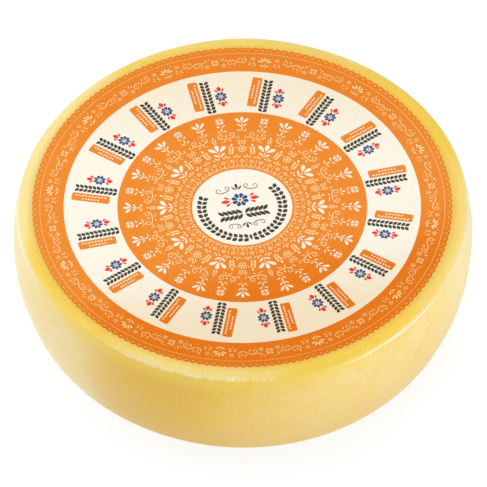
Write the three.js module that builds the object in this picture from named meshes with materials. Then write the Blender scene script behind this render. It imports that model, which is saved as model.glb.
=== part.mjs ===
// A whole wheel of semi-hard melting cheese with a round paper label lying on its top face.
// Millimetres, +Z up. The origin is the middle of the underside, where the wheel rests.
// The wheel is one solid of revolution, pressed a little out of round. The label is a thin
// sheet with a lace edge: a ring of small scallops, each with an eye cut through it.

import * as THREE from "three";
import { mergeVertices } from "three/addons/utils/BufferGeometryUtils.js";

const degrees = THREE.MathUtils.degToRad;

// Driving dimensions of the wheel
const WIDEST_RADIUS = 149.3;
const FACE_HEIGHT = 79.6; // underside to flat top face
const FACE_RADIUS = 138.6; // how far the top face stays flat
const SIDE_ARC_RADIUS = 122; // the side bulges along this arc
const RIDGE_RADIUS = 2.6; // the crisp edge between shoulder and side
const RIDGE_SIDE_ANGLE = degrees(12.3); // how far the side leans back where the ridge begins
const RIDGE_SHOULDER_ANGLE = degrees(64); // how far the surface has turned where the shoulder begins
const FOOT_RADIUS = 7; // the softer edge round the underside

// How the pressed wheel departs from a true circle: waves round the rim, height, and where each peaks
const OUT_OF_ROUND = [
  { waves: 2, height: 0.54, peak: degrees(67.5) },
  { waves: 3, height: 0.4, peak: degrees(40) },
  { waves: 4, height: 0.57, peak: degrees(7.7) },
];
// Soft hollows and swells of the side, which also drift with height
const SIDE_SWELLS = [
  { waves: 6, height: 0.22, climb: 0.031 },
  { waves: 11, height: 0.16, climb: -0.047 },
];
// The ridge rises and dips where the mould's cloth was folded over, and has sunk a little all round
const RIDGE_SWELLS = [
  { waves: 5, height: 0.25, peak: degrees(20) },
  { waves: 9, height: 0.2, peak: degrees(7) },
];
const RIDGE_SINK = 0.3;

// Driving dimensions of the label
const LABEL_THICKNESS = 0.4;
const LACE_TIP_RADIUS = 137;
const LACE_DEPTH = 1.6; // from a scallop's tip to the notch beside it
const LACE_SCALLOPS = 180;
const EYE_RADIUS_OUT = 134.9; // where the eyes sit, from the label's middle
const EYE_WIDTH = 2.3;
const EYE_HEIGHT = 1.2;
const LABEL_OFFSET = { x: -0.3, y: 0.1 }; // stuck on a little off centre

// Fineness
const ROUND_STEPS = 96;
const SIDE_STEPS = 11;
const RIDGE_STEPS = 5;
const SHOULDER_STEPS = 5;
const FOOT_STEPS = 5;
const SCALLOP_STEPS = 4;
const EYE_STEPS = 6;
const MERGE_DISTANCE = 0.001; // corners nearer than this are one corner

// Points of a curve, from its first value to its last
function along(first, last, steps, pointAt) {
  const points = [];
  for (let i = 0; i <= steps; i++) points.push(pointAt(first + ((last - first) * i) / steps));
  return points;
}

// Half the wheel's section, from the middle of the underside round to the middle of the top
function wheelSection() {
  const shoulderSlope = 1 / Math.tan(RIDGE_SHOULDER_ANGLE);
  const sideTopRadius = WIDEST_RADIUS - SIDE_ARC_RADIUS * (1 - Math.cos(RIDGE_SIDE_ANGLE));
  const ridgeMiddleRadius = sideTopRadius - RIDGE_RADIUS * Math.cos(RIDGE_SIDE_ANGLE);
  const shoulderRadius = ridgeMiddleRadius + RIDGE_RADIUS * Math.cos(RIDGE_SHOULDER_ANGLE);
  const shoulderRun = shoulderRadius - FACE_RADIUS;
  const shoulderDrop = (shoulderSlope * shoulderRun) / 2;
  const ridgeMiddleHeight = FACE_HEIGHT - shoulderDrop - RIDGE_RADIUS * Math.sin(RIDGE_SHOULDER_ANGLE);
  const widestHeight = ridgeMiddleHeight - (SIDE_ARC_RADIUS - RIDGE_RADIUS) * Math.sin(RIDGE_SIDE_ANGLE);
  // The foot's small arc touches both the side's arc and the floor.
  const footAngle = -Math.asin((widestHeight - FOOT_RADIUS) / (SIDE_ARC_RADIUS - FOOT_RADIUS));
  const sideMiddle = WIDEST_RADIUS - SIDE_ARC_RADIUS;
  const footMiddle = sideMiddle + (SIDE_ARC_RADIUS - FOOT_RADIUS) * Math.cos(footAngle);

  const arc = (x, y, radius) => (angle) =>
    new THREE.Vector2(x + radius * Math.cos(angle), y + radius * Math.sin(angle));
  const foot = along(-Math.PI / 2, footAngle, FOOT_STEPS, arc(footMiddle, FOOT_RADIUS, FOOT_RADIUS));
  const side = along(footAngle, RIDGE_SIDE_ANGLE, SIDE_STEPS, arc(sideMiddle, widestHeight, SIDE_ARC_RADIUS));
  const ridge = along(
    RIDGE_SIDE_ANGLE,
    RIDGE_SHOULDER_ANGLE,
    RIDGE_STEPS,
    arc(ridgeMiddleRadius, ridgeMiddleHeight, RIDGE_RADIUS),
  );
  const shoulder = along(1, 0, SHOULDER_STEPS, (share) =>
    new THREE.Vector2(FACE_RADIUS + shoulderRun * share, FACE_HEIGHT - shoulderDrop * share * share),
  );
  return [
    new THREE.Vector2(0, 0),
    ...foot,
    ...side.slice(1),
    ...ridge.slice(1),
    ...shoulder.slice(1),
    new THREE.Vector2(0, FACE_HEIGHT),
  ];
}

const waveSum = (waves, angle) =>
  waves.reduce((sum, w) => sum + w.height * Math.cos(w.waves * (angle - w.peak)), 0);

// How strongly a place shares in a swell: none at the edges of its range, all in the middle
function share(value, low, high) {
  const t = (value - low) / (high - low);
  return t > 0 && t < 1 ? Math.sin(Math.PI * t) : 0;
}

// Moves a point of the true solid of revolution to where the pressed cheese has it
function pressed(point) {
  const radius = Math.hypot(point.x, point.y);
  if (radius === 0) return point;
  const angle = Math.atan2(point.y, point.x);
  const swell = SIDE_SWELLS.reduce(
    (sum, s) => sum + s.height * Math.cos(s.waves * angle + s.climb * point.z * Math.PI),
    0,
  );
  const onSide = radius > FACE_RADIUS ? share(point.z, 0, FACE_HEIGHT) : 0;
  const onRidge = point.z > FACE_HEIGHT / 2 ? share(radius, FACE_RADIUS, WIDEST_RADIUS) : 0;
  const newRadius = radius * (1 + waveSum(OUT_OF_ROUND, angle) / WIDEST_RADIUS) + swell * onSide;
  point.x *= newRadius / radius;
  point.y *= newRadius / radius;
  point.z += (waveSum(RIDGE_SWELLS, angle) - RIDGE_SINK) * onRidge;
  return point;
}

// One closed body: shared corners merged, and the slivers at the two poles dropped
function closedBody(geometry) {
  geometry.deleteAttribute("normal");
  geometry.deleteAttribute("uv");
  const merged = mergeVertices(geometry, MERGE_DISTANCE);
  const corners = merged.index.array;
  const kept = [];
  for (let i = 0; i < corners.length; i += 3) {
    const [a, b, c] = corners.slice(i, i + 3);
    if (a !== b && b !== c && c !== a) kept.push(a, b, c);
  }
  merged.setIndex(kept);
  return merged;
}

// The wheel, moved so that the middle of its widest extent both ways is over the origin
function cheeseWheel() {
  const turned = new THREE.LatheGeometry(wheelSection(), ROUND_STEPS).rotateX(Math.PI / 2);
  const body = closedBody(turned);
  const places = body.getAttribute("position");
  const point = new THREE.Vector3();
  for (let i = 0; i < places.count; i++) {
    pressed(point.fromBufferAttribute(places, i));
    places.setXYZ(i, point.x, point.y, point.z);
  }
  body.computeBoundingBox();
  const middle = body.boundingBox.getCenter(new THREE.Vector3());
  body.translate(-middle.x, -middle.y, 0);
  body.computeVertexNormals();
  return body;
}

// The label's outline, scallop after scallop
function laceOutline() {
  const pitch = (2 * Math.PI) / LACE_SCALLOPS;
  const points = [];
  for (let i = 0; i < LACE_SCALLOPS; i++) {
    for (let step = 0; step < SCALLOP_STEPS; step++) {
      const turn = (Math.PI * step) / SCALLOP_STEPS;
      const angle = pitch * (i - Math.cos(turn) / 2);
      const radius = LACE_TIP_RADIUS - LACE_DEPTH * (1 - Math.sin(turn));
      points.push(new THREE.Vector2(radius * Math.cos(angle), radius * Math.sin(angle)));
    }
  }
  return points;
}

// One oval eye of the lace, its long side along the edge
function laceEye(angle) {
  const middle = new THREE.Vector2(EYE_RADIUS_OUT * Math.cos(angle), EYE_RADIUS_OUT * Math.sin(angle));
  const eye = new THREE.Path();
  eye.absellipse(middle.x, middle.y, EYE_HEIGHT / 2, EYE_WIDTH / 2, 0, 2 * Math.PI, true, angle);
  return new THREE.Path(eye.getPoints(EYE_STEPS / 2).slice(0, EYE_STEPS));
}

function paperLabel() {
  const sheet = new THREE.Shape(laceOutline());
  for (let i = 0; i < LACE_SCALLOPS; i++) {
    sheet.holes.push(laceEye((2 * Math.PI * i) / LACE_SCALLOPS));
  }
  return new THREE.ExtrudeGeometry(sheet, { depth: LABEL_THICKNESS, bevelEnabled: false });
}

const group = new THREE.Group();

const cheese = new THREE.Mesh(
  cheeseWheel(),
  new THREE.MeshStandardMaterial({ color: 0xf2d48a, roughness: 0.45, metalness: 0 }),
);
cheese.name = "cheese_wheel";
group.add(cheese);

const label = new THREE.Mesh(
  paperLabel(),
  new THREE.MeshStandardMaterial({ color: 0xee8c34, roughness: 0.55, metalness: 0 }),
);
label.name = "paper_label";
label.position.set(LABEL_OFFSET.x, LABEL_OFFSET.y, FACE_HEIGHT);
group.add(label);

export default group;
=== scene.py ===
# %% [markdown]
# # A wheel of melting cheese and its printed label
# The solid model gives two pieces at their real size: the wheel, and the paper label on its top.
# This lesson dresses both of them. The wheel gets a finer surface and a waxy, grainy rind, and the
# label gets its fields of colour and its printed ornament. Everything is in metres, in the frame of
# the solid model, so nothing has to be moved into place afterwards.

# %% Load the solid model
import math

import bmesh
import bpy
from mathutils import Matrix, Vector


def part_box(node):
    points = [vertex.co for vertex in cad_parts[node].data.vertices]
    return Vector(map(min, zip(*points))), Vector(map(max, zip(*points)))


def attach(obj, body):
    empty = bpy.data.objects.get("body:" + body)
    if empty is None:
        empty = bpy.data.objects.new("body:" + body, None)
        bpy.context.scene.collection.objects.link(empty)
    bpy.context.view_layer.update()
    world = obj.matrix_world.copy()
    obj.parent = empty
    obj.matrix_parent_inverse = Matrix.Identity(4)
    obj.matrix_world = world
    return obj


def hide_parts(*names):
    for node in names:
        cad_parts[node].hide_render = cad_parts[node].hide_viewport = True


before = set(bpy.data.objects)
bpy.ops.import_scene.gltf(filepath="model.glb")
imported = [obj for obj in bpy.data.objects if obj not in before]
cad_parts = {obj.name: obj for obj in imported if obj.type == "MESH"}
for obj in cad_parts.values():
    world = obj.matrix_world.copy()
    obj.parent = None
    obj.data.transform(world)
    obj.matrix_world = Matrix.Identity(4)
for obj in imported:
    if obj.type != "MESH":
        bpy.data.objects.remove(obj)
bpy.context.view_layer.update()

# %% [markdown]
# ## Sizes
# Sizes are written in millimetres, as a cheesemaker or a printer would give them, and turned into
# metres where Blender needs them. What the solid model already knows is read from it instead: the
# height of the flat top face, and where the middle of the label lies.

# %% Sizes taken from the solid model
MM = 0.001
wheel_low, wheel_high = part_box("cheese_wheel")
label_low, label_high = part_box("paper_label")
FACE_HEIGHT = wheel_high.z
LABEL_MIDDLE = (label_low + label_high) / 2
LABEL_MIDDLE.z = FACE_HEIGHT
print("top face at", round(FACE_HEIGHT, 5), "label's middle at", tuple(LABEL_MIDDLE))

# %% [markdown]
# ## Camera
# In the photograph all the rings of the label share one middle, which a lens shows only from very
# far away. So the camera here has no perspective at all. It is placed from what is known about the
# picture: how high it stands above the horizon, how many pixels one millimetre covers on the label,
# which pixel the label's middle lands on, and how much the picture is tilted.

# %% Camera
IMAGE_SIDE = 487
CAMERA_ELEVATION = math.radians(49.46)
CAMERA_DISTANCE = 2
CLIP_RANGE = (CAMERA_DISTANCE / 100, CAMERA_DISTANCE * 10)
CAMERA_ROLL = math.radians(-0.35)
PIXELS_PER_MM = 1.535
LABEL_MIDDLE_PIXEL = (242.5, 207.5)


def in_scene(name, data):
    """A new object in the scene that holds a camera, a mesh or a light."""
    thing = bpy.data.objects.new(name, data)
    bpy.context.scene.collection.objects.link(thing)
    return thing


def add_camera():
    """A camera without perspective or lens shift, which sees the label's middle at its pixel."""
    back = Vector((0, -math.cos(CAMERA_ELEVATION), math.sin(CAMERA_ELEVATION)))
    right = Vector((1, 0, 0))
    up = back.cross(right)
    aside = (IMAGE_SIDE / 2 - LABEL_MIDDLE_PIXEL[0]) / PIXELS_PER_MM * MM
    above = (LABEL_MIDDLE_PIXEL[1] - IMAGE_SIDE / 2) / PIXELS_PER_MM * MM

    data = bpy.data.cameras.new("studio_camera")
    data.type = "ORTHO"
    data.ortho_scale = IMAGE_SIDE / PIXELS_PER_MM * MM
    data.clip_start, data.clip_end = CLIP_RANGE
    camera = in_scene("studio_camera", data)
    camera.location = LABEL_MIDDLE + right * aside + up * above + back * CAMERA_DISTANCE
    camera.rotation_euler = back.to_track_quat("Z", "Y").to_euler()
    camera.rotation_euler.rotate_axis("Z", CAMERA_ROLL)
    return camera


bpy.context.scene.camera = add_camera()
print("the picture is", round(bpy.context.scene.camera.data.ortho_scale, 4), "m wide")

# %% [markdown]
# ## One class for node trees
# Materials and geometry nodes are both trees of nodes, and both use the same Math nodes. Writing a
# tree by hand takes a line for each node and a line for each link. Here a small class wraps one
# output of a node, so that an expression such as `1 - mask * 0.5` adds the Math nodes by itself.
# Every other node comes from one method, `add`, which sets a node's options before its inputs,
# because the options decide which inputs a node has.

# %% Signals and boards
class Signal:
    """One output of a node, on which arithmetic adds Math nodes."""

    def __init__(self, board, socket):
        self.board = board
        self.socket = socket

    def also(self, name):
        """Another output of the same node."""
        return Signal(self.board, self.socket.node.outputs[name])

    def __add__(self, other):
        return self.board.maths("ADD", self, other)

    def __sub__(self, other):
        return self.board.maths("SUBTRACT", self, other)

    def __rsub__(self, other):
        return self.board.maths("SUBTRACT", other, self)

    def __mul__(self, other):
        return self.board.maths("MULTIPLY", self, other)

    def __truediv__(self, other):
        return self.board.maths("DIVIDE", self, other)

    __radd__ = __add__
    __rmul__ = __mul__


class Board:
    """A node tree under construction, for a material or for geometry."""

    def __init__(self, tree):
        self.tree = tree

    def add(self, kind, settings=None, inputs=None, output=0):
        """Adds a node: first its settings, then what its inputs hold or are linked to."""
        node = self.tree.nodes.new(kind)
        for name, value in (settings or {}).items():
            setattr(node, name, value)
        for key, value in (inputs or {}).items():
            self.feed(node.inputs[key], value)
        return Signal(self, node.outputs[output])

    def feed(self, socket, value):
        """Gives a socket a value, a link, or several links."""
        if isinstance(value, Signal):
            self.tree.links.new(value.socket, socket)
        elif isinstance(value, list):
            for each in value:
                self.tree.links.new(each.socket, socket)
        else:
            socket.default_value = value

    def maths(self, operation, *values):
        return self.add("ShaderNodeMath", {"operation": operation}, dict(enumerate(values)))

    def vector(self, x, y, z):
        return self.add("ShaderNodeCombineXYZ", {}, {"X": x, "Y": y, "Z": z})

    def parts(self, vector):
        """The three numbers of a vector."""
        x = self.add("ShaderNodeSeparateXYZ", {}, {0: vector})
        return x, x.also("Y"), x.also("Z")

    def ease(self, value, low, high):
        """0 below low, 1 above high, and a soft step between them. High may be the smaller one."""
        limits = {"Value": value, "From Min": low, "From Max": high}
        return self.add("ShaderNodeMapRange", {"interpolation_type": "SMOOTHSTEP"}, limits)

    def ease_mm(self, length, limits):
        """The same soft step for a length, with its two limits given in millimetres."""
        return self.ease(length, limits[0] * MM, limits[1] * MM)

    def noise(self, place, per_metre, detail=2.0, roughness=0.5):
        """Smooth noise about 0, mostly between -0.5 and 0.5."""
        inputs = {"Vector": place, "Scale": per_metre, "Detail": detail, "Roughness": roughness}
        return self.add("ShaderNodeTexNoise", {}, inputs) - 0.5


# %% [markdown]
# ## Geometry nodes with named inputs
# A geometry node tree is a recipe: it starts from a small seed, such as a line or one motif, and
# grows the piece from it. Its sizes are named inputs, so the recipe reads like a form to fill in.
# An input is set by its socket's identifier, because a modifier doesn't know the names. When the
# tree has done its work, the result is copied to a plain mesh and the seed is removed.

# %% Recipes for geometry
KINDS = {"int": "NodeSocketInt", "float": "NodeSocketFloat", "vector": "NodeSocketVector"}
KINDS["material"] = "NodeSocketMaterial"
TOUCHING = 0.001 * MM


def new_recipe(name, **inputs):
    """An empty geometry tree. Returns its board and its inputs as signals, by name."""
    tree = bpy.data.node_groups.new(name, "GeometryNodeTree")
    tree.interface.new_socket("Geometry", in_out="INPUT", socket_type="NodeSocketGeometry")
    tree.interface.new_socket("Geometry", in_out="OUTPUT", socket_type="NodeSocketGeometry")
    for label, kind in inputs.items():
        tree.interface.new_socket(label, in_out="INPUT", socket_type=KINDS[kind])
    board = Board(tree)
    group_input = tree.nodes.new("NodeGroupInput")
    signals = {socket.name: Signal(board, socket) for socket in group_input.outputs if socket.name}
    return board, signals


def end_recipe(board, geometry, material, smooth):
    """Every recipe ends the same way: real geometry, its shading, and its material."""
    real = board.add("GeometryNodeRealizeInstances", {}, {"Geometry": geometry})
    shaded = board.add("GeometryNodeSetShadeSmooth", {}, {"Geometry": real, "Shade Smooth": smooth})
    painted = board.add("GeometryNodeSetMaterial", {}, {"Geometry": shaded, "Material": material})
    group_output = board.tree.nodes.new("NodeGroupOutput")
    board.feed(group_output.inputs[0], painted)
    return board.tree


def grow(seed, tree, name, **values):
    """Runs a recipe on the seed and returns the piece as a plain mesh object at the origin."""
    modifier = seed.modifiers.new("recipe", "NODES")
    modifier.node_group = tree
    for item in tree.interface.items_tree:
        if item.in_out == "INPUT" and item.name in values:
            modifier[item.identifier] = values[item.name]
    ready = seed.evaluated_get(bpy.context.evaluated_depsgraph_get())
    mesh = bpy.data.meshes.new_from_object(ready)
    mesh.name = name
    bpy.data.objects.remove(seed)
    piece = in_scene(name, mesh)
    mesh.calc_loop_triangles()
    print(name, "has", len(mesh.loop_triangles), "triangles")
    return piece


def new_seed(corners, edges, faces):
    """A small mesh for a recipe to start from."""
    mesh = bpy.data.meshes.new("seed")
    mesh.from_pydata(corners, edges, faces)
    return in_scene("seed", mesh)


# %% [markdown]
# ## Colour
# Colours are easiest to judge as the 0 to 255 numbers of a picture, but a shader works in linear
# light. One function turns the first into the second. The Standard view keeps the colours of the
# materials as they are, where a film-like view would soften the orange and the yellow.

# %% Colour helpers
bpy.context.scene.view_settings.view_transform = "Standard"


def ink(red, green, blue):
    """A colour given as picture values, in linear light."""

    def linear(value):
        share = value / 255
        return share / 12.92 if share <= 0.04045 else ((share + 0.055) / 1.055) ** 2.4

    return (linear(red), linear(green), linear(blue), 1.0)


COLOUR_A, COLOUR_B, COLOUR_OUT = 6, 7, 2


def blended(board, first, second, share):
    """A colour between two others. The Mix node keeps its colour sockets behind the others."""
    inputs = {"Factor": share, COLOUR_A: first, COLOUR_B: second}
    return board.add("ShaderNodeMix", {"data_type": "RGBA"}, inputs, COLOUR_OUT)


def new_material(name, **constants):
    """A material with its Principled shader's steady values set on the shader itself."""
    material = bpy.data.materials.new(name)
    material.use_nodes = True
    shader = material.node_tree.nodes["Principled BSDF"]
    for socket, value in constants.items():
        shader.inputs[socket.replace("_", " ")].default_value = value
    board = Board(material.node_tree)
    place = board.add("ShaderNodeTexCoord", {}, {}, "Object")
    return material, board, shader, place


# %% [markdown]
# ## The rind
# This cheese has no dark crust. Its rind is a thin, slightly greasy skin over a pale body, and
# light goes a little way in, so it looks like wax: a few millimetres of subsurface scattering give
# that. Its colour isn't even, and it carries painted light too: painted sheen makes it paler towards
# its left and right, and painted shade makes it darker near the floor. So stretches of its round are
# described by the bearing of their middle, how far they reach, and how strong they are. A cosine of
# the bearing gives each a soft start and end.

# %% Stretches of the wheel's round
# Each one: the bearing of its middle, its reach and its softness in degrees, and its strength
# Painted sheen: the side's pale stretches towards the left and the right of the wheel.
SIDE_SHEEN_STRETCHES = [(-18, 66, 24, 0.46), (-2, 18, 14, 0.3), (-178, 46, 13, 0.66), (-178, 16, 12, 0.25)]
SIDE_DEEP_STRETCHES = [(-115, 9, 12, 0.5)]
SHOULDER_PALE_STRETCHES = [
    (-103, 17, 12, 0.54),
    (158, 27, 14, 0.95),
    (-150, 26, 10, 0.12),
    (-10, 21, 14, 0.42),
    (88, 30, 12, 0.28),
]


def facing(board, flank, bearing):
    """1 on the side of the wheel that faces a bearing, falling to -1 on the far side."""
    turn = math.radians(bearing)
    return (flank["x"] * math.cos(turn) + flank["y"] * math.sin(turn)) / flank["around"]


def on_stretch(board, flank, middle, reach, softness):
    """1 within some degrees of a bearing, with soft ends."""
    far, near = (math.cos(math.radians(reach + side * softness)) for side in (1, -1))
    return board.ease(facing(board, flank, middle), far, near)


def on_stretches(board, flank, stretches):
    total = 0.0
    for middle, reach, softness, strength in stretches:
        total = total + on_stretch(board, flank, middle, reach, softness) * strength
    return total


# %% [markdown]
# ## Colours of the rind
# The side goes from gold to pale along its round, with one deeper stretch in front; its pale
# stretches towards the left and the right are painted sheen. Just under the ridge in front it is
# painted a brighter yellow, which is painted light, and towards the floor it is darker, which is
# painted shade. The shoulder beside the label is a stronger yellow, with sandy stretches, a little
# darker right beside the paper as a painted shadow of the label, and paler where it shows through
# the lace as painted light against the shade of the eyes. Along the ridge between them runs a thin
# pale line of painted highlight, whole in places and broken in front. Over all of it lie large
# smears from the cloth, a mottle, and a fine grain. Each place is a bearing, a height or a distance
# from the axis.

# %% Rind colours
SIDE_GOLD = ink(248, 204, 72)
SIDE_PALE = ink(250, 230, 172)
SIDE_DEEP = ink(236, 184, 70)
# Painted light: a brighter yellow for the top of the side in front.
SIDE_TOP_LIGHT = ink(255, 219, 92)
# Painted shade: a darker tone for the side near the floor.
SIDE_LOW_SHADE = ink(217, 178, 88)
SHOULDER_YELLOW = ink(248, 208, 64)
SHOULDER_SANDY = ink(249, 228, 154)
# Painted shadow of the label's edge on the shoulder.
LABEL_SHADOW_TONE = ink(228, 182, 84)
# Painted light: the cheese seen through the lace's eyes, lighter against their shade.
LACE_EYE_LIGHT = ink(250, 218, 116)
# Painted highlight: the pale line along the ridge.
RIDGE_HIGHLIGHT = ink(255, 245, 212)

# Bearings in degrees where a colour is strongest, and how squarely the side has to face them, as a
# cosine, for the colour to begin and to be full
LOW_LEFT_BEARING, LOW_LEFT_FACING = -145, (0.75, 0.98)
TOP_LIGHT_BEARING, TOP_LIGHT_FACING = -100, (0.45, 0.8)
LOW_SHADE_BEARING, LOW_SHADE_FACING = -70, (0.1, 0.85)
# Heights over the shelf, and distances from the axis, between which a colour grows, in millimetres
LOW_LEFT_HEIGHTS = (62, 8)
TOP_LIGHT_HEIGHTS = (64, 75)
LOW_SHADE_HEIGHTS = (70, 0)
SHOULDER_HEIGHTS = (75.2, 78.4)
OUTWARD_REACH = (140.5, 145.5)
LABEL_SHADOW_REACH = (141.5, 137.5)
LACE_EYE_LIGHT_REACH = (137, 136)
RIDGE_HIGHLIGHT_CORE = 0.2

# Each painted highlight line along the ridge: the bearing of its middle, its reach and its softness
# in degrees, its height and its width in millimetres, and how whole it is
RIDGE_HIGHLIGHT_LINES = [
    (-53, 7, 5, 74.6, 1.2, 0.5),
    (-39, 7, 5, 74.0, 1.2, 0.5),
    (-178, 8, 6, 74.4, 2.4, 0.5),
    (-165, 7, 6, 73.9, 1.3, 0.5),
    (-111, 17, 9, 77.1, 1.1, 0.03),
    (-90, 9, 8, 77.1, 0.9, -0.1),
]


def uneven(flank, **shares):
    """The rind's smears, mottle and grain added up, each by its share."""
    return sum(flank[layer] * share for layer, share in shares.items())


def side_colour(board, flank):
    """Gold to pale round the wheel, with painted sheen to the left and right, painted light under the ridge
    in front and painted shade near the floor.
    """
    low_left = board.ease(facing(board, flank, LOW_LEFT_BEARING), *LOW_LEFT_FACING)
    low_left = board.ease_mm(flank["z"], LOW_LEFT_HEIGHTS) * low_left
    wander = uneven(flank, smears=0.45, mottle=0.65, grain=0.6)
    # Painted sheen: the pale stretches towards the left and the right. The smears, mottle and grain are the
    # rind's own uneven tone.
    pale = on_stretches(board, flank, SIDE_SHEEN_STRETCHES) + low_left * 0.3 + wander + 0.06
    side = blended(board, SIDE_GOLD, SIDE_PALE, pale)
    side = blended(board, side, SIDE_DEEP, on_stretches(board, flank, SIDE_DEEP_STRETCHES))
    # Painted light: the top of the side is brighter in front.
    top_light_front = board.ease(facing(board, flank, TOP_LIGHT_BEARING), *TOP_LIGHT_FACING)
    painted_top_light = board.ease_mm(flank["z"], TOP_LIGHT_HEIGHTS) * top_light_front
    side = blended(board, side, SIDE_TOP_LIGHT, painted_top_light * 0.7)
    # Painted shade: the side darkens towards the floor, most in front.
    painted_low_shade = board.ease(facing(board, flank, LOW_SHADE_BEARING), *LOW_SHADE_FACING) * 0.5 + 0.12
    return blended(board, side, SIDE_LOW_SHADE, board.ease_mm(flank["z"], LOW_SHADE_HEIGHTS) * painted_low_shade)


def shoulder_colour(board, flank):
    """Yellow with sandy stretches, paler outwards, with a painted shadow beside the label and painted light
    under its lace.
    """
    sandy = on_stretches(board, flank, SHOULDER_PALE_STRETCHES)
    sandy = sandy + board.ease_mm(flank["around"], OUTWARD_REACH) * (sandy * 0.6 + 0.1)
    sandy = sandy + uneven(flank, mottle=0.7, grain=0.8)
    shoulder = blended(board, SHOULDER_YELLOW, SHOULDER_SANDY, sandy)
    # Painted shadow of the label beside its edge.
    painted_label_shadow = board.ease_mm(flank["around"], LABEL_SHADOW_REACH)
    shoulder = blended(board, shoulder, LABEL_SHADOW_TONE, painted_label_shadow * 0.45)
    # Painted light: lighter cheese where it shows through the lace's eyes.
    return blended(board, shoulder, LACE_EYE_LIGHT, board.ease_mm(flank["around"], LACE_EYE_LIGHT_REACH))


def rind_colour(board, flank):
    """The side and the shoulder, which meet along the ridge in a line that wanders a little."""
    wandering = flank["z"] + uneven(flank, mottle=1.8, smears=1.5) * MM
    upper = board.ease_mm(wandering, SHOULDER_HEIGHTS)
    return blended(board, side_colour(board, flank), shoulder_colour(board, flank), upper)


def painted_ridge_highlight(board, flank):
    """The painted highlight along the ridge, each stretch at its own height and more or less whole."""
    total = 0.0
    for middle, reach, softness, height, width, wholeness in RIDGE_HIGHLIGHT_LINES:
        above = board.maths("ABSOLUTE", flank["z"] - height * MM)
        line = board.ease_mm(above, (width, RIDGE_HIGHLIGHT_CORE))
        line = line * on_stretch(board, flank, middle, reach, softness)
        broken = board.ease(uneven(flank, grain=1.8, mottle=0.5) + wholeness, 0.0, 0.25)
        total = total + line * broken
    return total


# %% [markdown]
# ## The rind as a material
# The light that enters the skin comes out warmer, so red travels furthest in it. What varies goes
# into the colour, the roughness, the thin coat of fat and the bump, and every other number is
# steady and set on the shader itself.

# %% Cheese material
SMEARS_PER_METRE = 26
MOTTLE_PER_METRE = 90
GRAIN_PER_METRE = 800


def cheese_material():
    material, board, shader, place = new_material(
        "cheese_rind",
        Subsurface_Weight=0.35,
        Subsurface_Radius=(1.0, 0.62, 0.22),
        Subsurface_Scale=3 * MM,
        IOR=1.45,
        Specular_IOR_Level=0.35,
        Coat_Roughness=0.2,
        Sheen_Weight=0.08,
        Sheen_Roughness=0.4,
        Sheen_Tint=(1.0, 0.98, 0.92, 1.0),
    )
    x, y, z = board.parts(place)
    flank = {"x": x, "y": y, "z": z, "around": board.maths("SQRT", x * x + y * y)}
    flank["smears"] = board.noise(place, SMEARS_PER_METRE)
    flank["mottle"] = board.noise(place, MOTTLE_PER_METRE, 3.0, 0.65)
    flank["grain"] = board.noise(place, GRAIN_PER_METRE)
    # Painted highlight along the ridge, in the colour and with a little more coat.
    ridge_highlight = painted_ridge_highlight(board, flank)
    skin = blended(board, rind_colour(board, flank), RIDGE_HIGHLIGHT, ridge_highlight * 0.85)
    board.feed(shader.inputs["Base Color"], skin)
    board.feed(shader.inputs["Roughness"], 0.48 + uneven(flank, mottle=0.15, grain=0.25))
    board.feed(shader.inputs["Coat Weight"], 0.12 + uneven(flank, smears=0.15) + ridge_highlight * 0.2)
    height = uneven(flank, grain=0.5, mottle=0.5)
    bump = {"Strength": 0.3, "Distance": 0.2 * MM, "Height": height}
    board.feed(shader.inputs["Normal"], board.add("ShaderNodeBump", {}, bump))
    return material


CHEESE = cheese_material()

# %% [markdown]
# ## The wheel's section
# A wheel of cheese is a turned shape, pressed a little out of round. So its half section is drawn
# first, as a line of points from the middle of the underside to the middle of the top: the foot's
# small arc, the bulging side, the crisp ridge where the mould's lid met its ring, and the shoulder
# that rises gently to the flat top. The arcs touch each other, and their middles follow from that.

# %% Section of the wheel
# In millimetres, with the same values as the solid model and finer steps
WIDEST_RADIUS = 149.3
TOP_HEIGHT = FACE_HEIGHT / MM
FACE_RADIUS = 138.6
SIDE_ARC_RADIUS = 122
RIDGE_RADIUS = 2.6
RIDGE_SIDE_ANGLE = math.radians(12.3)
RIDGE_SHOULDER_ANGLE = math.radians(64)
FOOT_RADIUS = 7
SIDE_STEPS = 84
RIDGE_STEPS = 12
SHOULDER_STEPS = 22
FOOT_STEPS = 10


def arc(middle, radius, first, last, steps):
    """Points of an arc from one angle to another, without the first."""
    points = []
    for step in range(1, steps + 1):
        angle = first + (last - first) * step / steps
        points.append((middle[0] + radius * math.cos(angle), middle[1] + radius * math.sin(angle)))
    return points


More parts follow.
